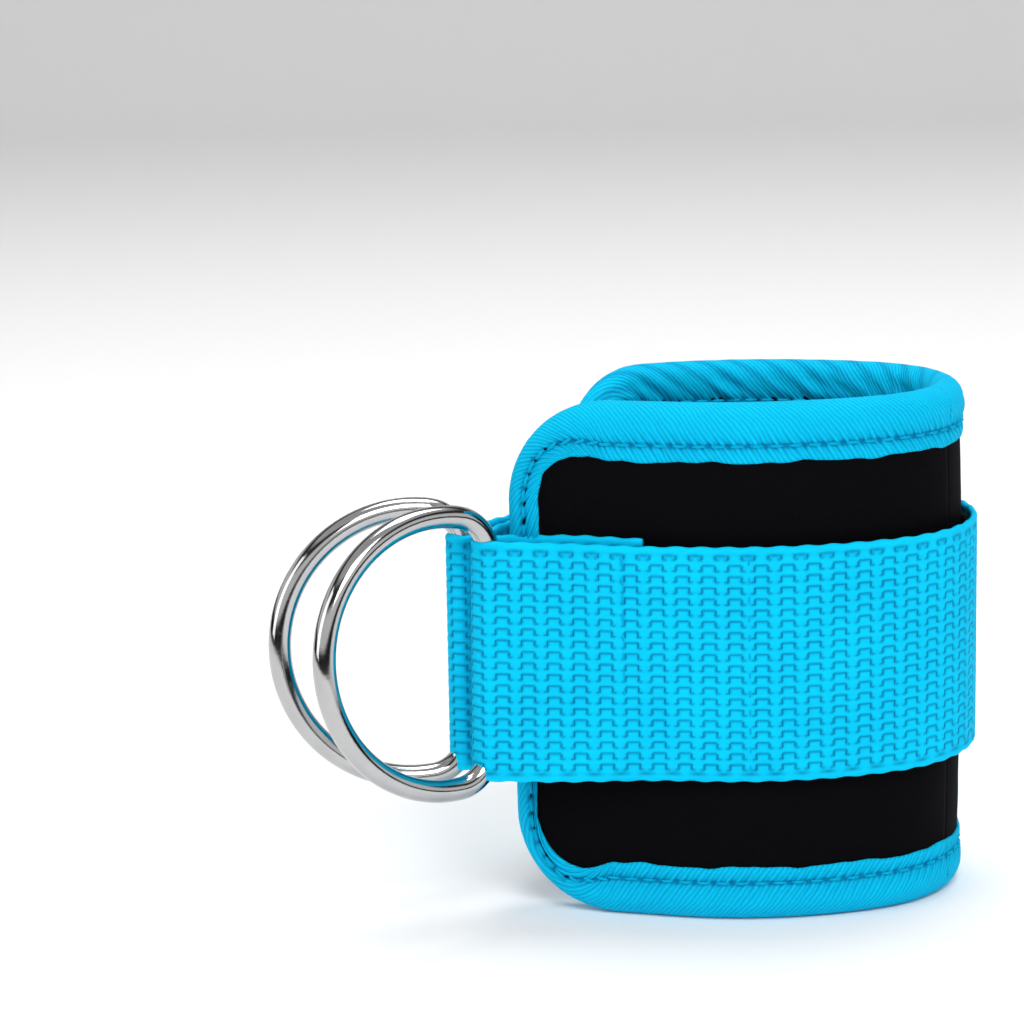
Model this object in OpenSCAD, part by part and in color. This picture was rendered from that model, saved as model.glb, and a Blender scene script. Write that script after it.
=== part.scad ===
/* [Pad] */
// Height of the padded cuff
pad_h = 111; // [90:1:130]
// Thickness of the pad without its binding
pad_t = 6.3; // [5.6:0.1:8]
// Thickness of the black outer cover
cover_t = 1; // [0.6:0.1:1.2]
// Thickness of the inner lining
lining_t = 0.8; // [0.5:0.1:1]
// Corner radius of the pad's two rounded ends
end_r = 22; // [18:1:24]

/* [Plan] */
// Half of the cuff's depth, measured to the outer cover
half_depth = 31.8; // [31:0.1:33]
// Radius of the gently curved front and back panels
flank_r = 72; // [70:1:76]
// Where the crown of both panels lies along the cuff
flank_x = 6.5; // [5:0.5:8]
// Angle from the crown of a panel to the start of the bend
flank_a = 24; // [23:0.5:25]
// Angle from the front panel's crown to its straight left end
front_a = 14; // [13:0.5:15]
// Length of the front panel's straight left end
front_len = 34; // [33:0.5:35]
// Angle from the back panel's crown to its left curve
back_a = 10; // [9:0.5:11]
// Radius of the back panel's left curve
left_r = 42; // [40:0.5:43]
// Angle of the back panel's left curve
left_a = 42; // [40:1:43]
// Length of the back panel's straight left end
back_len = 4; // [3:0.5:6]

/* [Binding] */
// Thickness of the binding tape
bind_t = 0.7; // [0.5:0.1:0.8]
// Width of the binding tape on each face of the pad
bind_w = 12; // [9:0.5:15]

/* [Strap] */
// Width of the strap webbing
strap_w = 50; // [45:1:50]
// Thickness of the strap webbing
strap_t = 1.4; // [1:0.1:1.5]
// Height of the strap's centre line
strap_z = 57; // [54:1:58]
// Distance from the cover to the inner face of the strap
strap_off = 2.5; // [2.4:0.1:2.7]
// Thickness of the hook tape and of the loop tape
tape_t = 1.05; // [0.7:0.05:1.05]
// Width of the hook tape and of the loop tape
tape_w = 46; // [40:1:46]
// Angle on the back panel at which the strap's loose end begins
tab_a0 = 71; // [70:1:74]
// Angle on the back panel at which the strap's loose end stops
tab_a1 = 101; // [96:1:103]

/* [D-rings] */
// Diameter of the ring wire
wire_d = 4.8; // [4:0.1:5]
// Height of a ring between the centre lines of its wire
ring_w = 57; // [56:0.5:59]
// Depth of a ring from its bar to its crown, along the wire's centre line
ring_l = 39.5; // [38:0.5:42]
// Radius of the two corners beside the bar, along the wire's centre line
ring_corner = 8.6; // [7:0.1:9]
// Height of the rings' centres
ring_z = 59; // [58:0.5:60]

/* [Hidden] */
$fn = 96;
gap = 0.05;               // between the layers of one body
cut_a = 0.5;              // half of the angle left open between two bend pieces
hinge_a = 60;             // angle of the outer flex lines on the bend
skin = 0.05;              // a straight tape is this much thinner on each face than the curve it joins
overlap = 1;              // how far a straight tape runs into the curve it joins
past_flat = 0.02;         // a rounded corner's curve crosses the flats instead of touching them

function on_circle(a) = [cos(a), sin(a)];
arc_step = 3;             // angle between the corners of a curved wall

// plan of the pad's outer face: centres and radii of its arcs
bend_r = flank_r - (flank_r - half_depth) / cos(flank_a);
flank_y = flank_r - half_depth;
bend_x = flank_x + flank_y * tan(flank_a);
flank_f = [flank_x, flank_y];
flank_b = [flank_x, -flank_y];
bend_c = [bend_x, 0];
left_c = flank_b + (flank_r - left_r) * on_circle(90 + back_a);
back_turn = 90 + back_a + left_a;
back_out = on_circle(back_turn);
back_dir = on_circle(back_turn + 90);
front_out = on_circle(-90 - front_a);
front_dir = on_circle(180 - front_a);
front_root = flank_f + flank_r * front_out;
back_root = left_c + left_r * back_out;

// arcs, each as centre, radius, first angle and last angle
pad_front_arcs = [
    [flank_f, flank_r, -90 - front_a, flank_a - 90],
    [bend_c, bend_r, flank_a - 90, -hinge_a - cut_a]
];
bend_front_arcs = [[bend_c, bend_r, cut_a - hinge_a, -cut_a]];
bend_rear_arcs = [[bend_c, bend_r, cut_a, hinge_a - cut_a]];
pad_back_arcs = [
    [bend_c, bend_r, hinge_a + cut_a, 90 - flank_a],
    [flank_b, flank_r, 90 - flank_a, 90 + back_a],
    [left_c, left_r, 90 + back_a, back_turn]
];
fold_a = -100;            // where the front strap leaves the panel's curve for the near ring
hook_a = -85;             // where the hook tape on the front strap begins, clear of the stitch line
side_a = 94 + back_a;     // where the ring strip on the back panel begins
strap_front_arcs = [
    [flank_f, flank_r, fold_a, flank_a - 90],
    [bend_c, bend_r, flank_a - 90, -hinge_a - cut_a]
];
hook_front_arcs = [
    [flank_f, flank_r, hook_a, flank_a - 90],
    [bend_c, bend_r, flank_a - 90, -hinge_a - cut_a]
];
strap_rear_arcs = [
    [bend_c, bend_r, hinge_a + cut_a, 90 - flank_a],
    [flank_b, flank_r, 90 - flank_a, tab_a0 - cut_a]
];
strap_end_arcs = [[flank_b, flank_r, tab_a0, tab_a1]];
strap_side_arcs = [[left_c, left_r, side_a, back_turn]];
loop_arcs = [[flank_b, flank_r, tab_a0, 90 + back_a]];

// distances from the outer face, inner then outer
cover_span = [-cover_t, 0];
core_span = [lining_t - pad_t + gap, -cover_t - gap];
lining_span = [-pad_t, lining_t - pad_t];
bind_span = [-pad_t - bind_t, bind_t];
slot_span = [-pad_t - gap, gap];
window_span = [-pad_t - 2 * bind_t, 2 * bind_t];
strap_span = [strap_off, strap_off + strap_t];
hook_span = [strap_off - gap - tape_t, strap_off - gap];
loop_span = [gap, gap + tape_t];

// rings: place of the bar, then the turn, the backward lean and the upward rise of the ring
near_bar = [-47.7, -28.2, ring_z];
near_turn = [36, 7, 6];
far_bar = [-53.5, -18.5, ring_z];
far_turn = [15, 7, 2];
crown_x = ring_l - ring_w / 2;
bar_half = sqrt(pow(ring_w / 2 - ring_corner, 2) - pow(ring_corner - crown_x, 2));
crown_a = atan2(bar_half, ring_corner - crown_x);
corner_d = wire_d - 0.04; // a little thinner, so that no two curved surfaces run into one another
bar_play = 0.05;          // running clearance of a bar in its fold

// folds of the webbing round the bars
past_pad = 2;             // how far the ring strip runs straight past the end of the pad
notch = 5.6;              // how far the fold's corners stay behind the bar
fold_half = bar_half - 1; // half of the fold's width where it turns round the bar
turn_d = wire_d + 2 * strap_t;
near_root = flank_f + (flank_r + strap_off) * on_circle(fold_a);
far_root = back_root + strap_off * back_out;
far_knee = far_root + (back_len + past_pad) * back_dir;
near_start = near_root + overlap * left_of(on_circle(fold_a));
far_start = far_root - overlap * back_dir;
near_flap = 9;            // how far from its root the near fold's flap begins

// stitches
stitch = [0.5, 0.35, 2.6];
stitch_step = 4;
stitch_edge = 3;          // from the webbing's edge to the middle of the first stitch
seam_in = 4;              // from a strip's end to its stitch line

cyan = [0, 0.83, 1];
thread = [0, 0.72, 0.9];
black = [0.08, 0.08, 0.09];
foam = [0.25, 0.25, 0.27];
steel = [0.8, 0.81, 0.83];

// points along the arcs, at one distance from the outer face
function arc_points(a, off) =
    let (n = ceil((a[3] - a[2]) / arc_step))
    [for (i = [0 : n]) a[0] + (a[1] + off) * on_circle(a[2] + (a[3] - a[2]) * i / n)];
function arcs_points(arcs, off) = [
    for (k = [0 : len(arcs) - 1])
        let (p = arc_points(arcs[k], off))
            for (i = [k == 0 ? 0 : 1 : len(p) - 1]) p[i]
];
// the same arcs, run a little further round the bend
function past_bend(arcs) = [
    for (a = arcs) a[0] != bend_c ? a : a[2] < 0 ? [a[0], a[1], a[2], a[3] + 1] : [a[0], a[1], a[2] - 1, a[3]]
];
function widened(arcs) = [for (a = arcs) [a[0], a[1], a[2] - 1, a[3] + 1]];
function reversed(p) = [for (i = [len(p) - 1 : -1 : 0]) p[i]];

// the pad's plan lines with their straight ends, the front one cut back by the inset
function front_line(arcs, off, inset) = concat(
    [front_root + (front_len - inset) * front_dir + off * front_out],
    arcs_points(arcs, off)
);
function back_line(arcs, off) = concat(
    arcs_points(arcs, off),
    [back_root + back_len * back_dir + off * back_out]
);

// an upright wall between two plan lines
module wall(outer, inner, z0, z1) {
    translate([0, 0, z0])
        linear_extrude(z1 - z0)
            polygon(concat(outer, reversed(inner)));
}

module arc_wall(arcs, span, z0, z1) {
    wall(arcs_points(arcs, span[1]), arcs_points(arcs, span[0]), z0, z1);
}

// what rounds off both corners of a straight pad end
module end_corners(root, dir, len, inset) {
    reach = end_r + 5;
    translate([root[0], root[1], 0])
        rotate([0, 0, atan2(dir[1], dir[0])])
            for (up = [0, 1])
                translate([len - end_r, 0, up ? pad_h - end_r : end_r])
                    mirror([0, 0, 1 - up])
                        difference() {
                            translate([0, -reach / 2, 0])
                                cube([reach, reach, reach]);
                            rotate([90, 0, 0])
                                cylinder(r = end_r - inset + past_flat, h = 2 * reach, center = true);
                        }
}

// what cuts a pad end back to one length past its root
module end_cut(root, dir, len) {
    translate([root[0], root[1], 0])
        rotate([0, 0, atan2(dir[1], dir[0])])
            translate([len, -end_r, 0])
                cube([2 * end_r, 2 * end_r, pad_h]);
}

module pad_front(span, inset, arcs = pad_front_arcs) {
    difference() {
        wall(front_line(arcs, span[1], inset), front_line(arcs, span[0], inset), inset, pad_h - inset);
        end_corners(front_root, front_dir, front_len, inset);
    }
}

module pad_back(span, inset, arcs = pad_back_arcs) {
    difference() {
        wall(back_line(arcs, span[1]), back_line(arcs, span[0]), inset, pad_h - inset);
        end_corners(back_root, back_dir, back_len, inset);
        if (inset > 0)
            end_cut(back_root, back_dir, back_len - inset);
    }
}

module pad_bend(arcs, span, inset) {
    arc_wall(arcs, span, inset, pad_h - inset);
}

// webbing or tape along the arcs, centred on the strap's height
module band(arcs, span, w) {
    arc_wall(arcs, span, strap_z - w / 2, strap_z + w / 2);
}

// one layer of webbing along a line of plan points, on one side of it, with mitred corners
module layer(points, side, w, thin) {
    near = side * thin;
    far = side * (strap_t - thin);
    translate([0, 0, strap_z - w / 2])
        linear_extrude(w)
            polygon(concat(offset_line(points, far), reversed(offset_line(points, near))));
}

function unit(v) = v / norm(v);
function left_of(v) = [-v[1], v[0]];
function corner_out(points, i) =
    let (
        a = left_of(unit(points[max(i, 1)] - points[max(i, 1) - 1])),
        last = len(points) - 1,
        b = left_of(unit(points[min(i, last - 1) + 1] - points[min(i, last - 1)]))
    )
    (a + b) / (1 + a * b);
function offset_line(points, off) = [
    for (i = [0 : len(points) - 1]) points[i] + off * corner_out(points, i)
];

// a point on the way from p to q: from p if the length is positive, else back from q
function on_way(p, q, len) = len < 0 ? q + len * unit(q - p) : p + len * unit(q - p);

// a fold's two layers: full width up to the notch, then narrower up to the bar
module fold(outer_line, flap_line, bar, outer_side) {
    plan = [bar[0], bar[1]];
    start = outer_line[len(outer_line) - 1];
    for (side = [outer_side, -outer_side]) {
        line = side == outer_side ? outer_line : flap_line;
        layer(concat(line, [on_way(start, plan, -notch)]), side, strap_w, skin);
        layer([on_way(start, plan, -notch - overlap), on_way(start, plan, -wire_d / 2 - strap_t / 2)],
            side, 2 * fold_half, 2 * skin);
    }
}

module at_bar(bar, turn) {
    translate(bar)
        rotate([0, 0, 180 + turn[0]])
            rotate([turn[1], -turn[2], 0])
                children();
}

module bar_space(bar, turn) {
    at_bar(bar, turn)
        cylinder(d = wire_d + 2 * bar_play, h = strap_w, center = true);
}

module bar_turn(bar, turn) {
    at_bar(bar, turn)
        cylinder(d = turn_d, h = 2 * fold_half, center = true);
}

module d_ring() {
    cylinder(d = wire_d, h = 2 * bar_half, center = true);
    rotate([90, 0, 0]) {
        translate([crown_x, 0, 0])
            rotate([0, 0, -crown_a])
                rotate_extrude(angle = 2 * crown_a)
                    translate([ring_w / 2, 0])
                        circle(d = wire_d);
        for (s = [0, 1])
            mirror([0, s, 0])
                translate([ring_corner, bar_half, 0])
                    rotate([0, 0, crown_a])
                        rotate_extrude(angle = 180 - crown_a)
                            translate([ring_corner, 0])
                                circle(d = corner_d);
    }
}

// a column of stitches, standing on the webbing's outer face
module stitches() {
    for (z = [stitch_edge - strap_w / 2 : stitch_step : strap_w / 2 - stitch_edge])
        translate([-stitch[0] / 2, gap, strap_z + z - stitch[2] / 2])
            cube(stitch);
}

module arc_stitches(centre, r, a) {
    translate([centre[0], centre[1], 0])
        rotate([0, 0, a - 90])
            translate([0, r + strap_off + strap_t, 0])
                stitches();
}

module straight_stitches(p, q, along, side) {
    d = q - p;
    translate([p[0], p[1], 0])
        rotate([0, 0, atan2(d[1], d[0]) + (side > 0 ? 0 : 180)])
            translate([side * along, strap_t, 0])
                stitches();
}

module core_front() { color(foam) pad_front(core_span, bind_t + gap); }
module core_back() { color(foam) pad_back(core_span, bind_t + gap); }
module core_bend_front() { color(foam) pad_bend(bend_front_arcs, core_span, bind_t + gap); }
module core_bend_rear() { color(foam) pad_bend(bend_rear_arcs, core_span, bind_t + gap); }

module cover_front() { color(black) pad_front(cover_span, bind_t + gap); }
module cover_back() { color(black) pad_back(cover_span, bind_t + gap); }
module cover_bend_front() { color(black) pad_bend(bend_front_arcs, cover_span, bind_t + gap); }
module cover_bend_rear() { color(black) pad_bend(bend_rear_arcs, cover_span, bind_t + gap); }

module lining_front() { color(black) pad_front(lining_span, bind_t + gap); }
module lining_back() { color(black) pad_back(lining_span, bind_t + gap); }
module lining_bend_front() { color(black) pad_bend(bend_front_arcs, lining_span, bind_t + gap); }
module lining_bend_rear() { color(black) pad_bend(bend_rear_arcs, lining_span, bind_t + gap); }

module binding_front() {
    color(cyan)
        difference() {
            pad_front(bind_span, 0);
            pad_front(slot_span, bind_t, past_bend(pad_front_arcs));
            pad_front(window_span, bind_w, past_bend(pad_front_arcs));
        }
}

module binding_back() {
    color(cyan)
        difference() {
            pad_back(bind_span, 0);
            pad_back(slot_span, bind_t, past_bend(pad_back_arcs));
            pad_back(window_span, bind_w, past_bend(pad_back_arcs));
        }
}

module bend_binding(arcs) {
    color(cyan)
        difference() {
            pad_bend(arcs, bind_span, 0);
            pad_bend(widened(arcs), slot_span, bind_t);
            pad_bend(widened(arcs), window_span, bind_w);
        }
}

module strap_front() {
    color(cyan)
        difference() {
            union() {
                band(strap_front_arcs, strap_span, strap_w);
                fold([near_start], [on_way(near_root, [near_bar[0], near_bar[1]], near_flap)], near_bar, 1);
                bar_turn(near_bar, near_turn);
            }
            bar_space(near_bar, near_turn);
        }
}

module strap_side() {
    color(cyan)
        difference() {
            union() {
                band(strap_side_arcs, strap_span, strap_w);
                fold([far_start, far_knee], [far_root, far_knee], far_bar, -1);
                bar_turn(far_bar, far_turn);
            }
            bar_space(far_bar, far_turn);
        }
}

module strap_bend_front() { color(cyan) band(bend_front_arcs, strap_span, strap_w); }
module strap_bend_rear() { color(cyan) band(bend_rear_arcs, strap_span, strap_w); }
module strap_rear() { color(cyan) band(strap_rear_arcs, strap_span, strap_w); }
module strap_end() { color(cyan) band(strap_end_arcs, strap_span, strap_w); }

module hook_tape_front() { color(black) band(hook_front_arcs, hook_span, tape_w); }
module hook_tape_bend_front() { color(black) band(bend_front_arcs, hook_span, tape_w); }
module hook_tape_bend_rear() { color(black) band(bend_rear_arcs, hook_span, tape_w); }
module hook_tape_rear() { color(black) band(strap_rear_arcs, hook_span, tape_w); }
module hook_tape_end() { color(black) band(strap_end_arcs, hook_span, tape_w); }
module loop_tape() { color(black) band(loop_arcs, loop_span, tape_w); }

module near_ring() { color(steel) at_bar(near_bar, near_turn) d_ring(); }
module far_ring() { color(steel) at_bar(far_bar, far_turn) d_ring(); }

module seam_front() { color(thread) arc_stitches(flank_f, flank_r, -90); }
module seam_side() { color(thread) arc_stitches(left_c, left_r, side_a + seam_in); }
module seam_near_fold() {
    color(thread) straight_stitches(near_root, [near_bar[0], near_bar[1]], near_flap + seam_in, 1);
}
module seam_far_fold() { color(thread) straight_stitches(far_root, far_knee, seam_in / 2, -1); }

core_back();
core_bend_rear();
core_bend_front();
core_front();
cover_back();
cover_bend_rear();
cover_bend_front();
cover_front();
lining_back();
lining_bend_rear();
lining_bend_front();
lining_front();
binding_back();
bend_binding(bend_rear_arcs);  // binding_bend_rear
bend_binding(bend_front_arcs);  // binding_bend_front
binding_front();
strap_front();
strap_bend_front();
strap_bend_rear();
strap_rear();
strap_end();
strap_side();
hook_tape_front();
hook_tape_bend_front();
hook_tape_bend_rear();
hook_tape_rear();
hook_tape_end();
loop_tape();
near_ring();
far_ring();
seam_front();
seam_near_fold();
seam_side();
seam_far_fold();
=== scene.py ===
"""A padded ankle strap with bound edges, a webbing strap and two D-rings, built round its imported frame."""

import math

import bmesh
import bpy
import numpy as np
from mathutils import Matrix


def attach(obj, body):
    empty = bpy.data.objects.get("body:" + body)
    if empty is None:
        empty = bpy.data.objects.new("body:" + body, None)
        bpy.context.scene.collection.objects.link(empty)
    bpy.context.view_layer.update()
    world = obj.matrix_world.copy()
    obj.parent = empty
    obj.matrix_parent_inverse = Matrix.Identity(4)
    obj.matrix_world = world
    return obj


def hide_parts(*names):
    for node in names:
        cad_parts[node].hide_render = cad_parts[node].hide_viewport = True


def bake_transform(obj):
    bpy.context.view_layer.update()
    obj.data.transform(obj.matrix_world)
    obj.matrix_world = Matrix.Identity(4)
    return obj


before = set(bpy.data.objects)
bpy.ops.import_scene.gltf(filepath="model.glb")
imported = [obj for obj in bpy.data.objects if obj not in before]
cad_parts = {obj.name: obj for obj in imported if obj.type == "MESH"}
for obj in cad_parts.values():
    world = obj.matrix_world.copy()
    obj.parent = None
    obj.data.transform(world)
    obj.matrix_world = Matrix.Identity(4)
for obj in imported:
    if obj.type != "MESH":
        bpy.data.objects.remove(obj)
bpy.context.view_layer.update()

MM = 0.001

# ---- camera, in millimetres and degrees ----
CAMERA_PLACE = (-3.1, -635.3, 213.0)
CAMERA_TURN = 1.54
CAMERA_DOWN = 13.96
CAMERA_ROLL = -1.15
CAMERA_LENS = 105.4
CAMERA_SHIFT = (-0.110, 0.1208)

# ---- the pad's plan, in millimetres and degrees ----
PAD_H = 111.0
PAD_T = 6.3
END_R = 22.0
HALF_DEPTH = 31.8
FLANK_R = 72.0
FLANK_X = 6.5
FLANK_A = 24.0
FRONT_A = 14.0
FRONT_LEN = 34.0
BACK_A = 10.0
LEFT_R = 42.0
LEFT_A = 42.0
BACK_LEN = 4.0

# ---- binding, strap, tapes ----
BIND_T = 0.7
BIND_W = 12.0
SEAM_IN = 3.4  # from the binding's cut edge to its stitch line
STRAP_W = 50.0
STRAP_T = 1.4
STRAP_Z = 57.0
STRAP_MID = 3.2  # from the cover to the middle of the webbing
TAPE_W = 46.0
TAPE_T = 1.05
HOOK_MID = 1.925
LOOP_MID = 0.575
FOLD_A = -100.0
HOOK_A = -85.0
SIDE_A = 94.0 + BACK_A
TAB_A0 = 71.0
TAB_A1 = 101.0
STITCH_STEP = 4.0

# ---- ring bars ----
WIRE_D = 4.8
NEAR_BAR = np.array([-47.7, -28.2])
FAR_BAR = np.array([-53.5, -18.5])
NEAR_AXIS = np.array([0.0123, 0.1596, 0.9871])
FAR_AXIS = np.array([0.0019, 0.1267, 0.9919])


def on_circle(angle):
    return np.array([math.cos(math.radians(angle)), math.sin(math.radians(angle))])


def smooth(x, low, high):
    t = np.clip((x - low) / (high - low), 0, 1)
    return t * t * (3 - 2 * t)


def bell(x, reach):
    return np.exp(-((x / reach) ** 2))


def ripple(x, seed, longest, octaves=3):
    """A smooth wandering value of about -1 to 1 along x."""
    rng = np.random.RandomState(seed)
    total = np.zeros_like(np.asarray(x, float))
    for k in range(octaves):
        wave = longest / (1.0 + 1.37 * k)
        total = total + np.sin(2 * np.pi * np.asarray(x) / wave + rng.uniform(0, 6.28)) / (1 + k)
    return total / 1.6


# ---- plan lines: arrays of points and outward normals, every quarter of a millimetre ----
PLAN_STEP = 0.25


class PlanLine:
    """A line in plan, read by its length from the start, at any distance out from it."""

    def __init__(self, points):
        self.points = np.array(points, float)
        steps = np.linalg.norm(np.diff(self.points, axis=0), axis=1)
        self.at = np.concatenate([[0], np.cumsum(steps)])
        self.length = self.at[-1]
        tangent = np.gradient(self.points, self.at, axis=0)
        tangent /= np.linalg.norm(tangent, axis=1)[:, None]
        self.normals = np.stack([tangent[:, 1], -tangent[:, 0]], axis=1)

    def place(self, s, off):
        s = np.asarray(s, float)
        point = np.stack([np.interp(s, self.at, self.points[:, k]) for k in (0, 1)], axis=-1)
        normal = self.normal(s)
        beyond = np.where(s < 0, s, np.where(s > self.length, s - self.length, 0))
        tangent = np.stack([-normal[..., 1], normal[..., 0]], axis=-1)
        return point + tangent * beyond[..., None] + normal * np.asarray(off)[..., None]

    def normal(self, s):
        normal = np.stack([np.interp(s, self.at, self.normals[:, k]) for k in (0, 1)], axis=-1)
        return normal / np.linalg.norm(normal, axis=-1, keepdims=True)


def arc(centre, radius, first, last):
    count = max(2, int(abs(math.radians(last - first)) * radius / PLAN_STEP))
    return [centre + radius * on_circle(a) for a in np.linspace(first, last, count)]


def straight(p, q):
    count = max(2, int(np.linalg.norm(np.array(q) - np.array(p)) / PLAN_STEP))
    return [np.array(p) + (np.array(q) - np.array(p)) * t for t in np.linspace(0, 1, count)]


def joined(*runs):
    points = list(runs[0])
    for run in runs[1:]:
        run = list(run)
        if np.linalg.norm(run[0] - points[-1]) < 1e-6:
            run = run[1:]
        points += run
    return points


FLANK_Y = FLANK_R - HALF_DEPTH
BEND_R = FLANK_R - FLANK_Y / math.cos(math.radians(FLANK_A))
FLANK_F = np.array([FLANK_X, FLANK_Y])
FLANK_B = np.array([FLANK_X, -FLANK_Y])
BEND_C = np.array([FLANK_X + FLANK_Y * math.tan(math.radians(FLANK_A)), 0.0])
LEFT_C = FLANK_B + (FLANK_R - LEFT_R) * on_circle(90 + BACK_A)
BACK_TURN = 90 + BACK_A + LEFT_A
FRONT_ROOT = FLANK_F + FLANK_R * on_circle(-90 - FRONT_A)
FRONT_DIR = on_circle(180 - FRONT_A)
BACK_ROOT = LEFT_C + LEFT_R * on_circle(BACK_TURN)
BACK_DIR = on_circle(BACK_TURN + 90)
BACK_OUT = on_circle(BACK_TURN)

pad_line = PlanLine(
    joined(
        straight(FRONT_ROOT + FRONT_LEN * FRONT_DIR, FRONT_ROOT),
        arc(FLANK_F, FLANK_R, -90 - FRONT_A, FLANK_A - 90),
        arc(BEND_C, BEND_R, FLANK_A - 90, 90 - FLANK_A),
        arc(FLANK_B, FLANK_R, 90 - FLANK_A, 90 + BACK_A),
        arc(LEFT_C, LEFT_R, 90 + BACK_A, BACK_TURN),
        straight(BACK_ROOT, BACK_ROOT + BACK_LEN * BACK_DIR),
    )
)
BEND_START = FRONT_LEN + FLANK_R * math.radians(FLANK_A + FRONT_A)


def bend_at(angle):
    """Length along the pad's line to an angle on the bend."""
    return BEND_START + BEND_R * math.radians(angle + 90 - FLANK_A)


# the pad and everything that runs round the bend is cut in three parts
SPLIT_FRONT, SPLIT_REAR = bend_at(-30), bend_at(30)


def flexes(piece):
    """Bakes the piece's place into its mesh."""
    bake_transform(piece)


# ---- meshes ----
def add_piece(name, points, faces, material, flat=None, groove_shade=None, sharp=()):
    mesh = bpy.data.meshes.new(name)
    mesh.from_pydata((np.asarray(points) * MM).tolist(), [], faces)
    mesh.polygons.foreach_set("use_smooth", [True] * len(mesh.polygons))
    if flat is not None:
        layer = mesh.attributes.new("flat", "FLOAT_VECTOR", "POINT")
        layer.data.foreach_set("vector", np.asarray(flat, np.float32).ravel())
    # the groove layer holds how far painted shade darkens each point's colour
    if groove_shade is not None:
        layer = mesh.attributes.new("groove_shade", "FLOAT", "POINT")
        layer.data.foreach_set("value", np.asarray(groove_shade, np.float32).ravel())
    work = bmesh.new()
    work.from_mesh(mesh)
    bmesh.ops.recalc_face_normals(work, faces=work.faces)
    work.to_mesh(mesh)
    work.free()
    if len(sharp):
        flags = np.array([True] * len(mesh.polygons))
        flags[list(sharp)] = False
        mesh.polygons.foreach_set("use_smooth", flags)
    mesh.materials.append(material)
    piece = bpy.data.objects.new(name, mesh)
    bpy.context.scene.collection.objects.link(piece)
    return piece


def sleeve_faces(rings, around):
    """Quads of a closed sleeve of rings, with both ends closed between the two sides of its cross-section."""
    i, j = np.meshgrid(np.arange(rings - 1), np.arange(around), indexing="ij")
    k = (j + 1) % around
    faces = np.stack([i * around + j, i * around + k, (i + 1) * around + k, (i + 1) * around + j], axis=-1)
    faces = faces.reshape(-1, 4).tolist()
    last = (rings - 1) * around
    for a in range(around // 2 - 1):
        b = around - 1 - a
        faces.append([a, b, b - 1, a + 1])
        faces.append([last + a, last + a + 1, last + b - 1, last + b])
    return faces


def sleeve(name, rings, material, flat, groove_shade=None):
    count, around = rings.shape[:2]
    caps = 2 * (around // 2 - 1)
    faces = sleeve_faces(count, around)
    return add_piece(
        name,
        rings.reshape(-1, 3),
        faces,
        material,
        flat.reshape(-1, 3),
        None if groove_shade is None else groove_shade.reshape(-1),
        range(len(faces) - caps, len(faces)),
    )


# ---- materials ----
def group(name, inputs, outputs):
    made = bpy.data.node_groups.new(name, "ShaderNodeTree")
    for label, kind, value in inputs:
        socket = made.interface.new_socket(label, in_out="INPUT", socket_type=kind)
        if value is not None:
            socket.default_value = value
    for label, kind in outputs:
        made.interface.new_socket(label, in_out="OUTPUT", socket_type=kind)
    return made, made.nodes.new("NodeGroupInput"), made.nodes.new("NodeGroupOutput")


def node(tree, kind, settings=None, **sockets):
    """A shader node with its settings. Its sockets are fed by name, or by place as i0, i1 and so on."""
    made = tree.nodes.new(kind)
    for key, value in (settings or {}).items():
        setattr(made, key, value)
    for label, value in sockets.items():
        by_place = label[0] == "i" and label[1:].isdigit()
        socket = made.inputs[int(label[1:]) if by_place else label]
        if isinstance(value, bpy.types.NodeSocket):
            tree.links.new(value, socket)
        else:
            socket.default_value = value
    return made


def maths(tree, operation, a, b=0.0, c=0.0, clamp=False):
    settings = {"operation": operation, "use_clamp": clamp}
    return node(tree, "ShaderNodeMath", settings, i0=a, i1=b, i2=c).outputs[0]


def noise(tree, place, **sockets):
    return node(tree, "ShaderNodeTexNoise", i0=place, **sockets).outputs["Fac"]


def tint_between(tree, factor, first, last):
    """The first colour where the factor is 0, and the last where it is 1."""
    mix = node(tree, "ShaderNodeMix", {"data_type": "RGBA"}, i0=factor, i6=first, i7=last)
    return mix.outputs[2]


FLOAT, COLOUR = "NodeSocketFloat", "NodeSocketColor"


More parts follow.
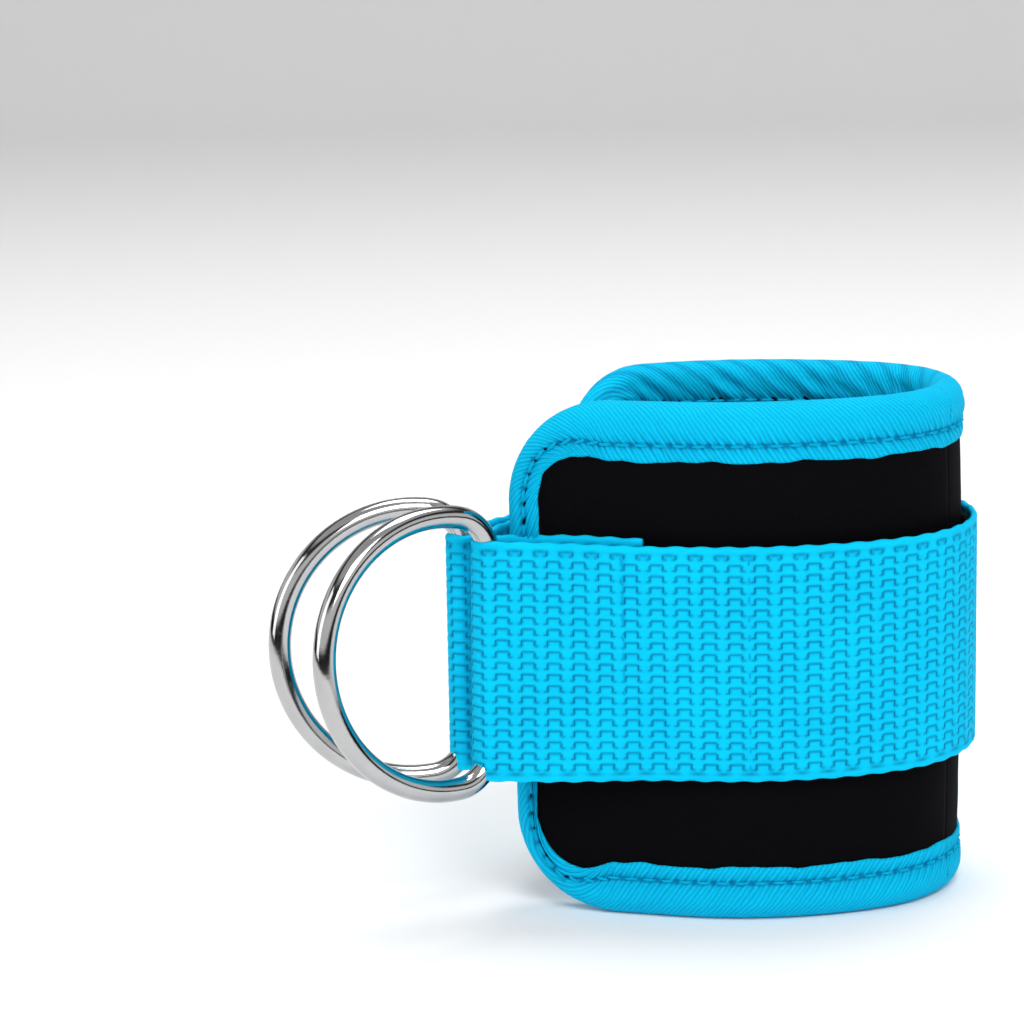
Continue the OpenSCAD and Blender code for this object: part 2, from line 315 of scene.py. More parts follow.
def make_cloth_group():
    """Uneven dye, fuzz and a fine crossed weave, laid along the cloth by its flat place in millimetres, with
    painted shade from the groove input.
    """
    tree, given, out = group(
        "cloth_face",
        [
            ("Light", COLOUR, (1, 1, 1, 1)),
            ("Dark", COLOUR, (0, 0, 0, 1)),
            ("Pitch", FLOAT, 1.0),
            ("Slant", FLOAT, 0.8),
            ("Diagonal", FLOAT, 0.0),
            ("Weave", FLOAT, 0.5),
            ("Fuzz", FLOAT, 0.5),
            ("Groove shade", FLOAT, 0.0),
        ],
        [("Color", COLOUR), ("Height", FLOAT), ("Roughness", FLOAT)],
    )
    flat = node(tree, "ShaderNodeAttribute", {"attribute_name": "flat"}).outputs["Vector"]
    split = node(tree, "ShaderNodeSeparateXYZ", i0=flat)
    x, y = split.outputs[0], split.outputs[1]
    turn = maths(tree, "DIVIDE", math.tau, given.outputs["Pitch"])
    lean = maths(tree, "MULTIPLY", y, given.outputs["Slant"])
    drift = maths(tree, "MULTIPLY", noise(tree, flat, Scale=0.11, Detail=3.0), 2.2)
    onward = maths(tree, "ADD", maths(tree, "ADD", x, lean), drift)
    against = maths(tree, "SUBTRACT", maths(tree, "SUBTRACT", x, lean), drift)
    one = maths(tree, "SINE", maths(tree, "MULTIPLY", onward, turn))
    other = maths(tree, "SINE", maths(tree, "MULTIPLY", against, turn))
    crossed = maths(tree, "MULTIPLY", one, other)
    ribs = maths(tree, "MULTIPLY", maths(tree, "SUBTRACT", one, crossed), given.outputs["Diagonal"])
    weave = maths(tree, "MULTIPLY_ADD", maths(tree, "ADD", crossed, ribs), 0.5, 0.5)
    fibre = noise(tree, flat, Scale=3.4, Detail=5.0, Roughness=0.65)
    cloud = noise(tree, flat, Scale=0.055, Detail=4.0, Roughness=0.6)
    shade = maths(tree, "MULTIPLY", maths(tree, "SUBTRACT", 1.0, weave), given.outputs["Weave"])
    shade = maths(tree, "MULTIPLY_ADD", maths(tree, "SUBTRACT", fibre, 0.5), given.outputs["Fuzz"], shade)
    shade = maths(tree, "MULTIPLY_ADD", maths(tree, "SUBTRACT", cloud, 0.5), 0.35, shade)
    # painted shade: the groove input darkens the colour toward the dark colour in grooves, creases and needle
    # holes
    shade = maths(tree, "ADD", shade, given.outputs["Groove shade"], clamp=True)
    tint = tint_between(tree, shade, given.outputs["Light"], given.outputs["Dark"])
    tree.links.new(tint, out.inputs["Color"])
    height = maths(tree, "MULTIPLY", weave, given.outputs["Weave"])
    height = maths(tree, "MULTIPLY_ADD", fibre, given.outputs["Fuzz"], height)
    tree.links.new(height, out.inputs["Height"])
    tree.links.new(maths(tree, "MULTIPLY_ADD", fibre, 0.25, 0.68), out.inputs["Roughness"])
    return tree


cloth_face = make_cloth_group()


def cloth(name, light, dark, pitch, slant, weave, fuzz, depth, sheen, groove_shade=False, diagonal=0.0, shine=0.08):
    """A cloth finish: the shared weave at its own pitch and slant, with the sheen on the shader itself."""
    material = bpy.data.materials.new(name)
    material.use_nodes = True
    tree = material.node_tree
    shader = tree.nodes["Principled BSDF"]
    face = node(
        tree,
        "ShaderNodeGroup",
        {"node_tree": cloth_face},
        Light=(*light, 1),
        Dark=(*dark, 1),
        Pitch=pitch,
        Slant=slant,
        Diagonal=diagonal,
        Weave=weave,
        Fuzz=fuzz,
    )
    # painted shade: with this flag the mesh's groove layer darkens the colour in grooves, creases and needle
    # holes
    if groove_shade:
        sunk = node(tree, "ShaderNodeAttribute", {"attribute_name": "groove_shade"}).outputs["Fac"]
        tree.links.new(sunk, face.inputs["Groove shade"])
    bump = node(tree, "ShaderNodeBump", Strength=depth, Distance=0.00025, Height=face.outputs["Height"])
    tree.links.new(face.outputs["Color"], shader.inputs["Base Color"])
    tree.links.new(face.outputs["Roughness"], shader.inputs["Roughness"])
    tree.links.new(bump.outputs["Normal"], shader.inputs["Normal"])
    shader.inputs["Sheen Weight"].default_value = sheen
    shader.inputs["Sheen Roughness"].default_value = 0.45
    shader.inputs["Sheen Tint"].default_value = (*light, 1)
    shader.inputs["Specular IOR Level"].default_value = shine
    return material


# the second colour of each cyan pair is the dark end of the dye, weave and fuzz, and also the painted shade
# in grooves, creases and needle holes
CYAN, CYAN_DYE_AND_SHADE = (0.0, 0.56, 0.88), (0.0, 0.13, 0.29)
BIND_CYAN, BIND_DYE_AND_SHADE = (0.0, 0.55, 0.87), (0.0, 0.20, 0.40)
BLACK, BLACK_DEEP = (0.0022, 0.0019, 0.003), (0.001, 0.0009, 0.0014)
KNIT, KNIT_DEEP = (0.004, 0.004, 0.005), (0.0015, 0.0015, 0.002)

# pitch in mm, slant, weave, fuzz, bump and sheen
webbing = cloth("polyester webbing", CYAN, CYAN_DYE_AND_SHADE, 0.9, 0.25, 0.12, 0.26, 0.5, 0.10, groove_shade=True)
twill = cloth("binding twill", BIND_CYAN, BIND_DYE_AND_SHADE, 1.1, 0.9, 0.45, 0.3, 1.0, 0.12, True, diagonal=1.0)
thread = cloth("sewing thread", (0.0, 0.50, 0.80), (0.0, 0.25, 0.45), 0.5, 2.0, 0.5, 0.2, 0.6, 0.1)
neoprene = cloth("neoprene cover", BLACK, BLACK_DEEP, 0.8, 1.0, 0.6, 0.9, 0.35, 0.01, shine=0.04)
lining_knit = cloth("knitted lining", KNIT, KNIT_DEEP, 1.2, 0.5, 0.7, 0.6, 0.5, 0.02)
hook_pile = cloth("hook tape", (0.008, 0.008, 0.010), (0.001, 0.001, 0.0015), 1.3, 1.0, 1.0, 0.7, 1.0, 0.04)
loop_pile = cloth("loop tape", (0.010, 0.010, 0.012), (0.002, 0.002, 0.003), 0.9, 1.3, 0.5, 1.2, 1.0, 0.15)


def make_steel():
    """Polished wire steel, with fine drawing lines and a few duller handling marks."""
    material = bpy.data.materials.new("polished ring steel")
    material.use_nodes = True
    tree = material.node_tree
    shader = tree.nodes["Principled BSDF"]
    place = node(tree, "ShaderNodeTexCoord").outputs["Object"]
    marks = noise(tree, place, Scale=160.0, Detail=6.0, Roughness=0.7)
    fine = noise(tree, place, Scale=1400.0, Detail=3.0)
    worn = node(tree, "ShaderNodeMapRange", Value=marks, i1=0.52, i2=0.75, i3=0.09, i4=0.24).outputs[0]
    tree.links.new(worn, shader.inputs["Roughness"])
    tint = tint_between(tree, marks, (0.38, 0.38, 0.39, 1), (0.55, 0.545, 0.54, 1))
    tree.links.new(tint, shader.inputs["Base Color"])
    bump = node(tree, "ShaderNodeBump", Strength=0.06, Distance=0.0001, Height=fine)
    tree.links.new(bump.outputs["Normal"], shader.inputs["Normal"])
    shader.inputs["Metallic"].default_value = 1.0
    return material


steel = make_steel()

# ---- pad: cover over foam, and the lining inside ----
PARTS = {
    "front": (0.0, SPLIT_FRONT),
    "middle": (SPLIT_FRONT, SPLIT_REAR),
    "rear": (SPLIT_REAR, pad_line.length),
}
SKIRT = BIND_T + 0.25  # the pad's cut edge stays this far inside the binding
EDGE_R, EDGE_THIN = 3.0, 0.15  # how the pad's edge thins inside the binding's roll
PAD_MID = -PAD_T / 2
CORE_BACK = -5.45  # the back of the foam, from the cover's face
LINING_FACE = -5.5
PANEL_STEP, PANEL_ROWS = 1.0, 61
CROWN = 0.35
SEAM_DENT = 0.35  # how far the binding's stitches pull the cover in
FACE_WAVE = 0.18


def end_rise(s):
    """How far the rounded ends lift the pad's lower edge, and lower its upper one."""
    away = np.minimum(s - SKIRT, pad_line.length - SKIRT - s)
    radius = END_R - SKIRT
    return radius - np.sqrt(np.maximum(radius**2 - np.maximum(radius - away, 0) ** 2, 0)) + SKIRT


def edge_distance(s, z):
    """Distance from the pad's edge, true at its rounded corners."""
    a, b = np.minimum(s, pad_line.length - s), np.minimum(z, PAD_H - z)
    ds, dz = np.maximum(END_R - a, 0), np.maximum(END_R - b, 0)
    return np.where((ds > 0) & (dz > 0), END_R - np.hypot(ds, dz), np.minimum(a, b))


def lengths(first, last, step):
    """Places along the pad from first to last, closer together at its rounded ends."""
    low, high = max(first, SKIRT), min(last, pad_line.length - SKIRT)
    places = [np.linspace(low, high, int((high - low) / step) + 2)]
    fine = END_R * (1 - np.cos(np.linspace(0.02, 1.2, 24))) * 0.9
    if first == 0.0:
        places.append(low + fine)
    if last == pad_line.length:
        places.append(high - fine)
    return np.unique(np.round(np.concatenate(places), 4))


def panel(name, part, out, back, material, crown):
    """A layer of the pad between two distances from the outer face, crowned between its bound edges."""
    s = lengths(*PARTS[part], PANEL_STEP)
    t = np.linspace(0, 1, PANEL_ROWS)
    rise = end_rise(s)
    z = rise[:, None] + (PAD_H - 2 * rise)[:, None] * t[None, :]
    s_all = np.broadcast_to(s[:, None], z.shape)
    inset = edge_distance(s_all, z)
    seam = BIND_W - SEAM_IN
    lift = crown * smooth(inset, seam - 1, BIND_W + 14) - SEAM_DENT * bell(inset - seam, 1.6)
    waves = ripple(s, 5, 37)[:, None] * ripple(z, 9, 41)
    lift = lift + FACE_WAVE * waves * smooth(inset, BIND_W, BIND_W + 10)
    rounding = np.clip((inset - SKIRT) / EDGE_R, 0, 1)
    squeeze = np.sqrt(1 - (1 - rounding) ** 2) * (1 - EDGE_THIN) + EDGE_THIN
    layers = []
    for off, share in ((out, 1.0), (back, 0.0)):
        xy = pad_line.place(s_all, PAD_MID + (off - PAD_MID) * squeeze + share * lift)
        layers.append(np.concatenate([xy, z[..., None]], axis=-1))
    rings = np.concatenate([layers[0], layers[1][:, ::-1]], axis=1)
    flat = np.stack([s_all, z, np.zeros_like(z)], axis=-1)
    flat = np.concatenate([flat, flat[:, ::-1]], axis=1)
    return sleeve(name, rings, material, flat)


# ---- binding: tape folded round the pad's edge ----
FOLD_HALF = PAD_T / 2 + BIND_T - 0.1  # radius of the roll at the binding's folded edge
PATH_STEP, CORNER_ROWS = 0.45, 80
LEG_ROWS, ROLL_ROWS = 17, 13
UPRIGHT_LOST, LOW_LOST = 5.0, 1.6  # how much narrower the tape is up the front end, and more so low down
PHASE_LEAN = 0.6  # keeps the ripples running on round the corners
GATHER_DEPTH, GATHER_STEP, GATHER_LEAN, GATHER_REACH = 0.24, 2.1, 0.9, 2.6
WRINKLE_DEPTH, WRINKLE_STEP, WRINKLE_LEAN = 0.34, 7.3, 1.5
FAR_WRINKLE_DEPTH, FAR_WRINKLE_STEP = 0.45, 1.3  # added inside the far rim
SEAM_DEPTH, SEAM_REACH = 0.42, 0.9
HOLE_DEPTH, HOLE_R = 0.3, 0.5
SWELL, SWELL_OUT, SWELL_REACH = 0.30, 3.6, 2.4  # the tape stands up beside its stitch line


def edge_path(part):
    """The edge of the pad on the flat, as rows of a place (s, z) and its outward direction."""
    length, r = pad_line.length, END_R
    first, last = PARTS[part]

    def run(p, q, n):
        count = max(2, int(np.hypot(*(np.array(q) - p)) / PATH_STEP))
        return [(*(np.array(p) + (np.array(q) - p) * t), *n) for t in np.linspace(0, 1, count)]

    def corner(s, z, a0, a1):
        return [
            (s + r * math.cos(math.radians(a)), z + r * math.sin(math.radians(a)), *on_circle(a))
            for a in np.linspace(a0, a1, CORNER_ROWS)
        ]

    if part == "front":
        legs = [
            run((last, PAD_H), (r, PAD_H), (0, 1)),
            corner(r, PAD_H - r, 90, 180),
            run((0, PAD_H - r), (0, r), (-1, 0)),
            corner(r, r, 180, 270),
            run((r, 0), (last, 0), (0, -1)),
        ]
    elif part == "rear":
        legs = [
            run((first, 0), (length - r, 0), (0, -1)),
            corner(length - r, r, -90, 0),
            run((length, r), (length, PAD_H - r), (1, 0)),
            corner(length - r, PAD_H - r, 0, 90),
            run((length - r, PAD_H), (first, PAD_H), (0, 1)),
        ]
    elif part == "middle_top":
        legs = [run((last, PAD_H), (first, PAD_H), (0, 1))]
    else:
        legs = [run((first, 0), (last, 0), (0, -1))]
    rows = []
    for leg in legs:
        rows += leg if not rows else leg[1:]
    return np.array(rows)


PARTS["middle_top"] = PARTS["middle_low"] = PARTS["middle"]


def running_length(path):
    return np.concatenate([[0], np.cumsum(np.hypot(*np.diff(path[:, :2], axis=0).T))])


def edge_place(path, e, off):
    """Points of a path on the flat, moved out by e and off the pad's outer face by off, in space."""
    s = path[:, 0][:, None] + path[:, 2][:, None] * e
    z = path[:, 1][:, None] + path[:, 3][:, None] * e
    xy = pad_line.place(s, off)
    return np.concatenate([xy, z[..., None]], axis=-1)


def leg_width(path):
    """Width of the binding's legs, narrower up the pad's front end, where the tape was pulled round."""
    upright = smooth(-path[:, 2], 0.0, 1.0)
    lost = UPRIGHT_LOST + LOW_LOST * (1 - smooth(path[:, 1], 25, 85))
    return BIND_W - lost * upright


def seam_place(path):
    """The stitch line's place, in from the folded edge."""
    return -np.maximum(leg_width(path) - SEAM_IN, FOLD_HALF + 0.15)


def stitch_count(length):
    return max(2, int(round(length / STITCH_STEP)))


def tape_section(path, phase):
    """Each row of the folded tape: how far out it lies, and its distance from the pad's outer face."""
    width_out = leg_width(path) + 0.35 * ripple(phase, 21, 23) + 0.06 * ripple(phase, 22, 9)
    width_in = leg_width(path) + 0.6 * ripple(phase, 31, 19) + 0.12 * ripple(phase, 32, 9)
    t = np.linspace(0, 1, LEG_ROWS)[None, :]
    turn = np.pi * np.linspace(0, 1, ROLL_ROWS)[None, 1:-1] + np.zeros((len(path), 1))
    outer_e = -(width_out[:, None] * (1 - t) + FOLD_HALF * t)
    inner_e = -(width_in[:, None] * t + FOLD_HALF * (1 - t))
    roll_e = -FOLD_HALF + FOLD_HALF * np.sin(turn)
    outer_off, inner_off = np.full_like(outer_e, FOLD_HALF), np.full_like(inner_e, -FOLD_HALF)
    e = np.concatenate([outer_e, roll_e, inner_e], axis=1)
    off = PAD_MID + np.concatenate([outer_off, FOLD_HALF * np.cos(turn), inner_off], axis=1)
    side = np.concatenate([np.ones(LEG_ROWS), np.cos(turn[0]), -np.ones(LEG_ROWS)])[None, :]
    return e, off, side


def bind(name, part):
    """The folded tape of one part: outer leg, roll and inner leg, with gathers and a wavering cut edge, and
    painted shade in its seam groove, gathers, needle holes and far wrinkles.
    """
    path = edge_path(part)
    steps = running_length(path)
    phase = path[:, 0] + PHASE_LEAN * path[:, 1]
    e, base, side = tape_section(path, phase)
    step_across = np.hypot(np.diff(e, axis=1), np.diff(base, axis=1)).mean(0)
    across = np.concatenate([[0], np.cumsum(step_across)])[None, :]
    run = phase[:, None]

    seam = seam_place(path)[:, None]
    near_seam = bell(e - seam, GATHER_REACH)
    waver = 1.2 * ripple(phase, 3, 17)[:, None]
    gather = np.sin(2 * np.pi * (run + GATHER_LEAN * across) / GATHER_STEP + waver)
    far = smooth(path[:, 0], SPLIT_REAR - 30, SPLIT_REAR + 5)[:, None] * (side < 0.3)
    leaning = 2 * np.pi * (run + WRINKLE_LEAN * across)
    wrinkle = np.sin(leaning / (WRINKLE_STEP + FAR_WRINKLE_STEP * far)) * ripple(phase, 41, 33)[:, None]
    wrinkle = wrinkle * (WRINKLE_DEPTH + FAR_WRINKLE_DEPTH * far)
    round_end = smooth(np.abs(path[:, 2]), 0.05, 0.9)[:, None]
    wrinkle = wrinkle * (0.45 + 0.55 * (1 - side) / 2) * (1 - 0.5 * round_end)

    pitch = steps[-1] / stitch_count(steps[-1])
    from_hole = (np.abs((steps / pitch + 0.5) % 1 - 0.5) * pitch)[:, None]
    holes = bell(e - seam, HOLE_R) * bell(from_hole, HOLE_R)
    seated = SEAM_DEPTH * bell(e - seam, SEAM_REACH) + HOLE_DEPTH * holes
    swell = SWELL * bell(e - seam - SWELL_OUT, SWELL_REACH)
    lift = GATHER_DEPTH * near_seam * gather + wrinkle * bell(e + 5.5, 4.5) - seated + swell

    on_roll = np.abs(side) < 0.999
    out_off = base + np.where(on_roll, 0.6 * lift * side, lift * np.sign(side))
    out_e = e + np.where(on_roll, 0.5 * lift * (1 - np.abs(side)), 0)
    thin = 0.8 * BIND_T / FOLD_HALF  # the tape's thickness, as a share of the roll's radius
    in_e = np.minimum(out_e, -FOLD_HALF) + np.where(e > -FOLD_HALF, (out_e + FOLD_HALF) * (1 - thin), 0)
    in_off = PAD_MID + (out_off - PAD_MID) * (1 - thin)
    for cut in (0, -1):
        out_off[:, cut] = PAD_MID + (out_off[:, cut] - PAD_MID) * (1 - 0.35 * thin)
    outside, inside = edge_place(path, out_e, out_off), edge_place(path, in_e, in_off)
    rings = np.concatenate([outside, inside[:, ::-1]], axis=1)

    flat = np.stack(np.broadcast_arrays(run, across, 0 * e), axis=-1)
    flat = np.concatenate([flat, flat[:, ::-1]], axis=1)
    # painted shade: darker colour along the stitch line's groove, in the troughs of the gathers beside it, in
    # the needle holes, and in stripes on the far rim's inner side where its wrinkles fall in shade
    shade = 0.4 * bell(e - seam, 0.5) + 0.35 * near_seam * (0.5 - 0.5 * gather) + 1.2 * holes
    shade = shade + 0.45 * np.clip(-np.sin(leaning / WRINKLE_STEP), 0, 1) * far
    groove_shade = np.concatenate([shade, 0 * e], axis=1)
    return sleeve(name, rings, twill, flat, groove_shade), float(steps[-1])


# ---- stitches ----
EDGE_BEAD, EDGE_THREAD_R = 2.9, 0.34
CROSS_BEAD, CROSS_THREAD_R = 2.2, 0.26
BEAD_AROUND, BEAD_ROWS = 8, 7


def stitch_beads(name, centres, along, up, length, radius):
    """Short sewn stitches, each a bead of thread that dives into the cloth at both ends."""
    ring, rows = BEAD_AROUND, BEAD_ROWS
    points, faces, flat = [], [], []
    for centre, a, n in zip(centres, along, up):
        b = np.cross(n, a)
        base = len(points)
        for k in range(rows):
            t = k / (rows - 1) * 2 - 1
            r = radius * math.sqrt(max(1 - abs(t) ** 3.0, 0.06))
            middle = centre + a * t * length / 2 + n * (0.55 * radius - 1.1 * radius * t * t)
            for m in range(ring):
                q = 2 * math.pi * m / ring
                points.append(middle + r * (math.cos(q) * n + math.sin(q) * b))
                flat.append((k * 0.5 + len(centres), m * 0.2, 0))
        for k in range(rows - 1):
            low, high = base + k * ring, base + (k + 1) * ring
            for m in range(ring):
                onward = (m + 1) % ring
                faces.append([low + m, low + onward, high + onward, high + m])
        faces.append([base + m for m in reversed(range(ring))])
        faces.append([base + (rows - 1) * ring + m for m in range(ring)])
    return add_piece(name, points, [face[::-1] for face in faces], thread, flat)


def edge_seam(name, part):
    """The stitch lines of the binding, on both faces of one part."""
    path = edge_path(part)
    at = running_length(path)
    count = stitch_count(at[-1])
    places = (np.arange(count) + 0.5) * at[-1] / count
    rows = np.stack([np.interp(places, at, path[:, k]) for k in range(4)], axis=1)
    rows[:, 2:] /= np.linalg.norm(rows[:, 2:], axis=1)[:, None]
    seam = seam_place(rows)
    centres, along, up = [], [], []
    for sign in (1, -1):
        off = PAD_MID + sign * (FOLD_HALF - 0.22)
        e = seam[:, None]
        here = edge_place(rows, e, np.full_like(e, off))[:, 0]
        shifted = rows.copy()
        shifted[:, 0] += -rows[:, 3] * 0.5
        shifted[:, 1] += rows[:, 2] * 0.5
        onward = edge_place(shifted, e, np.full_like(e, off))[:, 0] - here
        onward /= np.linalg.norm(onward, axis=1)[:, None]
        normal = pad_line.normal(rows[:, 0] + rows[:, 2] * seam) * sign
        normal = np.concatenate([normal, np.zeros((len(rows), 1))], axis=1)
        normal -= (normal * onward).sum(1)[:, None] * onward
        normal /= np.linalg.norm(normal, axis=1)[:, None]
        centres += list(here)
        along += list(onward)
        up += list(normal)
    return stitch_beads(name, np.array(centres), np.array(along), np.array(up), EDGE_BEAD, EDGE_THREAD_R)


# ---- webbing ----
WEAVE_LONG, WEAVE_ROW = 5.4, 2.36
WEAVE_DEPTH = 0.2
GROOVE_HALF = 0.27
SELVAGE = 1.7  # from the webbing's edge to the groove beside its selvage
RIM = 0.8  # width of the webbing's rounded edge


def weave_grooves(u, w):
    """Depth, 0 to 1, of the stepped grooves between the webbing's yarns: tops, legs and feet of each step."""
    a = np.abs((u / WEAVE_LONG) % 1 - 0.5)
    q = (w / WEAVE_ROW) % 1
    top = np.minimum(q, 1 - q) * WEAVE_ROW
    foot = np.abs(q - 0.5) * WEAVE_ROW
    leg = np.abs(a - 0.25) * WEAVE_LONG
    tops = 0.75 * bell(top, GROOVE_HALF) * (1 - smooth(a, 0.23, 0.29))
    feet = 0.75 * bell(foot, GROOVE_HALF) * smooth(a, 0.21, 0.27) * (1 - 0.8 * smooth(a, 0.36, 0.44))
    legs = bell(leg, GROOVE_HALF) * smooth(q, 0.42, 0.52)
    lines = np.maximum(np.maximum(tops, feet), legs)
    from_edge = STRAP_W / 2 - np.abs(w)
    inside = 1 - smooth(-from_edge, -2.4, -1.2)
    beads = 0.5 + 0.5 * np.cos(2 * np.pi * u / WEAVE_LONG)
    return lines * inside + 0.7 * bell(from_edge - SELVAGE, 0.4) * beads


def webbing_sleeve(name, line, first, last, material, width=STRAP_W, thick=STRAP_T, step=0.4, **bends):
    """Webbing or tape along a plan line: both faces, rounded edges and closed ends.

    bends may hold off and rise, functions of the length along the line, tilt, which gives the share and the
    direction that the webbing leans to, start, where its weave begins, and plain, for a tape with no weave.
    """
    count = max(3, int(round((last - first) / step)) + 1)
    u = np.linspace(first, last, count)
    half = width / 2
    middle = np.linspace(RIM - half, half - RIM, int((width - 2 * RIM) / step) + 1)
    rim = half - RIM + RIM * np.array([0.4, 0.72, 0.92, 1.0])
    w = np.concatenate([-rim[::-1], middle, rim])
    over = np.clip((np.abs(w) - half + RIM) / RIM, 0, 1)
    uu, ww = np.meshgrid(u, w, indexing="ij")
    along = uu + bends.get("start", 0.0)
    grooves = 0 * uu if bends.get("plain") else weave_grooves(along, ww)
    scallop = (0.05 if bends.get("plain") else 0.13) * np.sin(2 * np.pi * along / WEAVE_LONG)
    shift = ww + scallop * over[None, :] * np.sign(ww)

    axis = np.broadcast_to(np.array([0, 0, 1.0]), (count, 3)).copy()
    if "tilt" in bends:
        share, lean = bends["tilt"](u)
        axis = axis + share[:, None] * (lean - axis)
        axis /= np.linalg.norm(axis, axis=1)[:, None]
    off = bends["off"](u) if "off" in bends else np.zeros(count)
    rise = bends["rise"](u) if "rise" in bends else np.zeros(count)
    centre = np.concatenate([line.place(u, off), (STRAP_Z + rise)[:, None]], axis=1)
    normal = np.concatenate([line.normal(u), np.zeros((count, 1))], axis=1)
    height = (thick / 2 * np.sqrt(1 - 0.93 * over**2))[None, :] - WEAVE_DEPTH * grooves

    faces, flats = [], []
    for side in (1, -1):
        out = normal[:, None] * side * height[..., None]
        faces.append(centre[:, None] + axis[:, None] * shift[..., None] + out)
        flats.append(np.stack([along, ww, np.full_like(uu, side)], axis=-1))
    rings = np.concatenate([faces[0], faces[1][:, ::-1]], axis=1)
    flat = np.concatenate([flats[0], flats[1][:, ::-1]], axis=1)
    # painted shade: on woven webbing the grooves between the yarns and beside the selvages also darken its
    # colour, on both faces
    groove_shade = np.concatenate([grooves, grooves[:, ::-1]], axis=1)
    return sleeve(name, rings, material, flat, groove_shade)


def eased(points, rounds, keep=3):
    """The line with its corners relaxed, its first and last points left where they are."""
    line = PlanLine(points)
    count = int(line.length / PLAN_STEP)
    p = line.place(np.linspace(0, line.length, count), np.zeros(count))
    for _ in range(rounds):
        before, after = p[keep - 1 : -keep - 1], p[keep + 1 : len(p) - keep + 1]
        p[keep:-keep] = (before + 2 * p[keep:-keep] + after) / 4
    return p


TURN_R = WIRE_D / 2 + 0.2 + STRAP_T / 2
EASING = 26  # rounds of relaxing that a fold's corners get
FLAP_START, FLAP_BEHIND = 9.0, 1.55  # the near fold's flap: from its root, and behind the strap


def round_bar(start, bar, end):
    """From start to the bar, leftwards round it, and back to end."""

    def touch(point, sign):
        way = bar - point
        lean = math.degrees(math.acos(min(1.0, TURN_R / np.linalg.norm(way))))
        return math.degrees(math.atan2(-way[1], -way[0])) + sign * lean

    first, last = touch(start, 1), touch(end, -1)
    last = first + (last - first) % 360
    turn = arc(bar, TURN_R, first, last)
    return joined(straight(start, turn[0]), turn, straight(turn[-1], end))


# the front strap is one line: flap, round the near bar, front panel, bend, back panel, loose end
NEAR_ROOT = FLANK_F + (FLANK_R + STRAP_MID) * on_circle(FOLD_A)
toward_bar = (NEAR_BAR - NEAR_ROOT) / np.linalg.norm(NEAR_BAR - NEAR_ROOT)
inward = np.array([toward_bar[1], -toward_bar[0]])
FLAP_END = NEAR_ROOT + FLAP_START * toward_bar + FLAP_BEHIND * inward
fold_line = eased(round_bar(FLAP_END, NEAR_BAR, NEAR_ROOT), EASING)
strap_line = PlanLine(
    joined(
        fold_line,
        arc(FLANK_F, FLANK_R + STRAP_MID, FOLD_A, FLANK_A - 90),
        arc(BEND_C, BEND_R + STRAP_MID, FLANK_A - 90, 90 - FLANK_A),
        arc(FLANK_B, FLANK_R + STRAP_MID, 90 - FLANK_A, TAB_A1),
    )
)


def along_line(line, point):
    """Length along the line to the place nearest to a point."""
    return float(line.at[np.argmin(np.linalg.norm(line.points - np.array(point), axis=1))])


def strap_bend(angle):
    return BEND_C + (BEND_R + STRAP_MID) * on_circle(angle)


def strap_back(angle):
    return FLANK_B + (FLANK_R + STRAP_MID) * on_circle(angle)


def bar_tilt(bar, axis, near, far):
    """The webbing turns from upright to the bar's own lean as it comes to the bar."""

    def tilt(line):
        def share_and_lean(u):
            away = np.linalg.norm(line.place(u, np.zeros(len(u))) - bar, axis=1)
            return 1 - smooth(away, near, far), axis

        return share_and_lean

    return tilt


def webbing_piece(name, first, last, part, nodes, **bends):
    """A stretch of the front strap, with its CAD nodes hidden and its place baked into its mesh."""
    piece = webbing_sleeve(name, strap_line, first, last, webbing, **bends)
    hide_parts(*nodes)
    flexes(piece)
    return piece


U_ROOT = along_line(strap_line, NEAR_ROOT)
U_SPLIT_FRONT = along_line(strap_line, strap_bend(-30))
U_SPLIT_REAR = along_line(strap_line, strap_bend(30))
U_TAB = along_line(strap_line, strap_back(TAB_A0))
U_TURN = along_line(strap_line, NEAR_BAR + TURN_R * on_circle(180))
near_tilt = bar_tilt(NEAR_BAR, NEAR_AXIS, 6.0, 36.0)(strap_line)


def near_rise(u):
    """How much higher the flap and the turn at the bar sit than the rest of the strap."""
    flap = 1 - smooth(u, U_TURN - 26, U_TURN + 2)
    bar = smooth(u, U_TURN - 20, U_TURN) * (1 - smooth(u, U_TURN, U_ROOT))
    return 1.2 * flap + 0.6 * bar


# ---- pad, lining and binding of each part ----
PAD_NODES = {"front": ("front",), "middle": ("bend_front", "bend_rear"), "rear": ("back",)}
for part in ("front", "middle", "rear"):
    nodes = PAD_NODES[part]
    pad = panel("pad_" + part, part, 0.0, CORE_BACK, neoprene, CROWN)
    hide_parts(*["cover_" + n for n in nodes], *["core_" + n for n in nodes])
    flexes(pad)

    inside = panel("lining_skin_" + part, part, LINING_FACE, -PAD_T, lining_knit, 0.0)
    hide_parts(*["lining_" + n for n in nodes])
    flexes(inside)

for part, runs in (("front", ("front",)), ("middle", ("middle_top", "middle_low")), ("rear", ("rear",))):
    for run in runs:
        tape, tape_length = bind("binding_tape_" + run, run)
        seam = edge_seam("binding_stitches_" + run, run)
        if run != "middle_low":
            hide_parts(*["binding_" + n for n in PAD_NODES[part]])
        flexes(tape)
        flexes(seam)

# ---- front strap ----
webbing_piece(
    "strap_front_webbing",
    0.0,
    U_SPLIT_FRONT,
    "front",
    ["strap_front"],
    tilt=near_tilt,
    rise=near_rise,
    step=0.32,
)
webbing_piece(
    "strap_bend_webbing", U_SPLIT_FRONT, U_SPLIT_REAR, "middle", ["strap_bend_front", "strap_bend_rear"]
)
webbing_piece("strap_rear_webbing", U_SPLIT_REAR, U_TAB, "rear", ["strap_rear"])


def peels(piece):
    """Bakes the loose end's place into its mesh."""
    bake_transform(piece)


